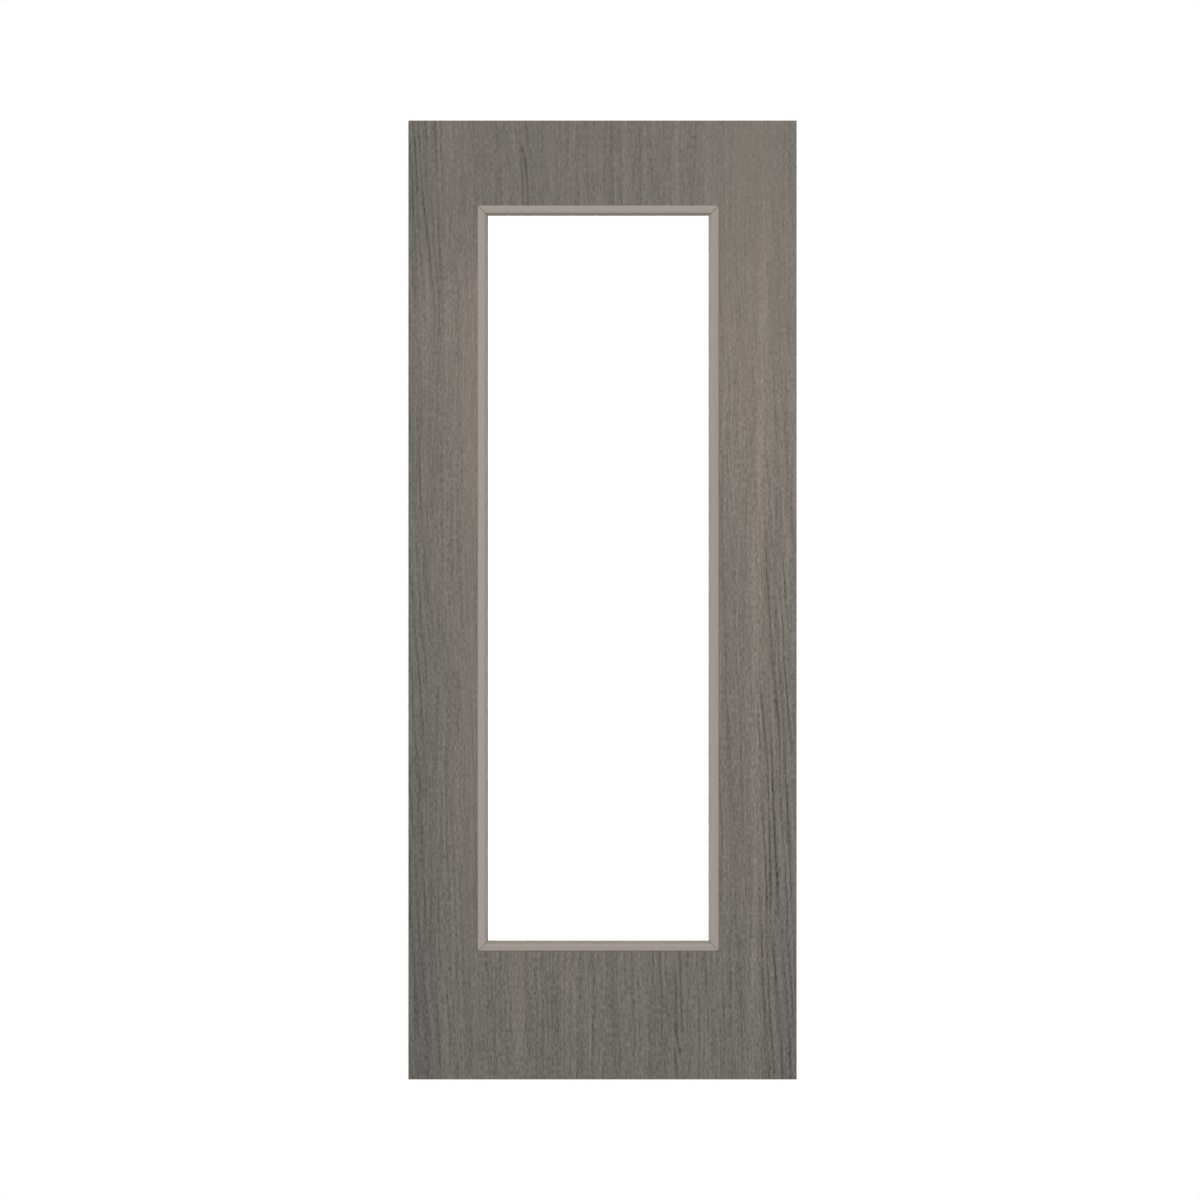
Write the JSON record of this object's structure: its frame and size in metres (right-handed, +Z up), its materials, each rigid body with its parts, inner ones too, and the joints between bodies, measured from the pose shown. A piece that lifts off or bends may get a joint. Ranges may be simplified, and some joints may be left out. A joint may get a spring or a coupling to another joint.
{
  "type": "glazed door leaf",
  "caption": "Flush door leaf faced in grey wood-grain laminate, with a tall clear glazed panel, set off centre, held by mitred taupe beads on both sides.",
  "frame": {"origin": "foot of the left edge as seen from the front, halfway through the leaf: the edge that hinges go on", "axes": "+X across the leaf to the lock edge, +Z up the leaf, and the front faces -Y"},
  "size_m": [0.826, 0.049, 2.04],
  "materials": {
    "wood_grain_laminate": "matte",
    "bead_foil": "satin",
    "fibreboard": "matte",
    "core_timber": "matte",
    "lipping_timber": "matte",
    "glazing_strip": "matte",
    "clear_glass": "polished"
  },
  "bodies": {
    "root": {"back_bottom_bead": "bead_foil", "back_bottom_glazing_strip": "glazing_strip", "back_facing_board": "fibreboard", "back_laminate": "wood_grain_laminate", "back_left_bead": "bead_foil", "back_left_glazing_strip": "glazing_strip", "back_right_bead": "bead_foil", "back_right_glazing_strip": "glazing_strip", "back_top_bead": "bead_foil", "back_top_glazing_strip": "glazing_strip", "bottom_core_rail": "core_timber", "front_bottom_bead": "bead_foil", "front_bottom_glazing_strip": "glazing_strip", "front_facing_board": "fibreboard", "front_laminate": "wood_grain_laminate", "front_left_bead": "bead_foil", "front_left_glazing_strip": "glazing_strip", "front_right_bead": "bead_foil", "front_right_glazing_strip": "glazing_strip", "front_top_bead": "bead_foil", "front_top_glazing_strip": "glazing_strip", "glass_pane": "clear_glass", "left_core_stile": "core_timber", "left_edge_band": "wood_grain_laminate", "left_lipping": "lipping_timber", "left_setting_block": "lipping_timber", "right_core_stile": "core_timber", "right_edge_band": "wood_grain_laminate", "right_lipping": "lipping_timber", "right_setting_block": "lipping_timber", "top_core_rail": "core_timber"}
  },
  "joints": []
}
